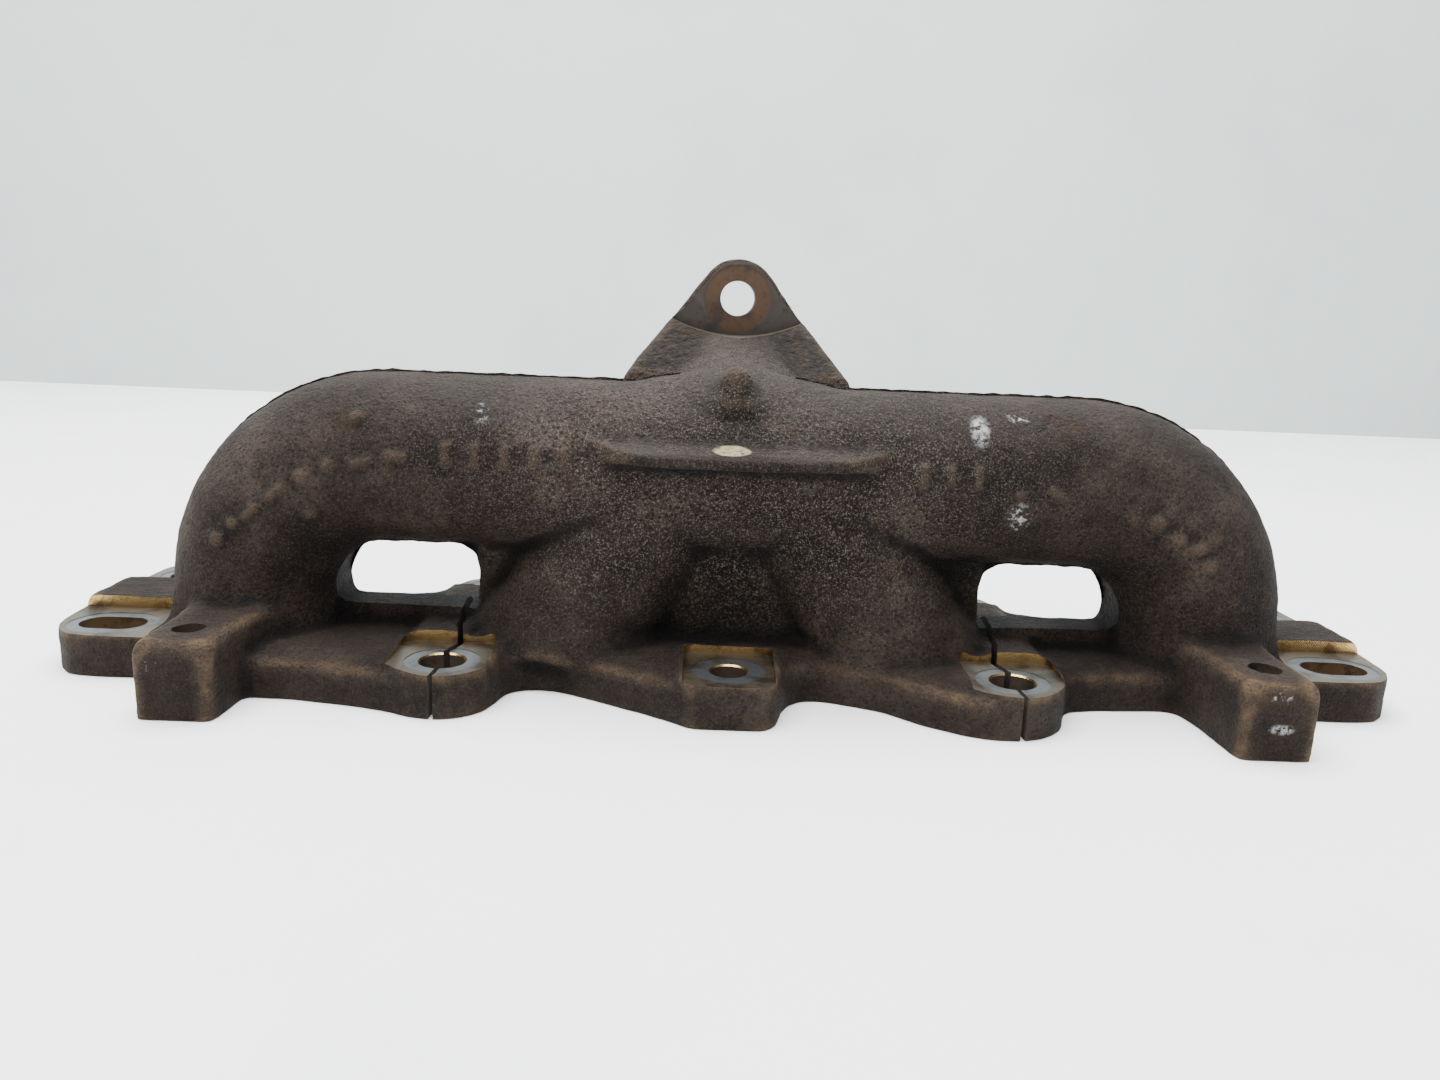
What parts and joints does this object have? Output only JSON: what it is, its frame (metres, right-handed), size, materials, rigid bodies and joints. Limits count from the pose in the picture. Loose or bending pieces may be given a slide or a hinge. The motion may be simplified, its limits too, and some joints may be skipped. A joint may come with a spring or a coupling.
{
  "type": "exhaust manifold",
  "caption": "Cast-iron exhaust manifold: slotted and slit head flange, upright runners bent into a common log, and a triangular outlet flange.",
  "frame": {"origin": "on the head face, midway between the middle ports", "axes": "+X along the row of ports, +Y towards the outlet, +Z away from the cylinder head"},
  "size_m": [0.362, 0.114, 0.115],
  "materials": {
    "cast_skin": "rough as-cast iron with brown heat scale and light rust"
  },
  "bodies": {
    "root": {"head_flange_left": "cast_skin", "head_flange_centre": "cast_skin", "head_flange_right": "cast_skin", "port_web_left": "cast_skin", "port_web_right": "cast_skin", "runner_outer_left": "cast_skin", "runner_inner_left": "cast_skin", "runner_inner_right": "cast_skin", "runner_outer_right": "cast_skin", "collector_left": "cast_skin", "collector_centre": "cast_skin", "collector_right": "cast_skin", "datum_ledge": "cast_skin", "feeder_stub": "cast_skin", "outlet_neck": "cast_skin", "outlet_flange": "cast_skin", "shield_boss_left": "cast_skin", "shield_boss_right": "cast_skin"}
  },
  "joints": []
}
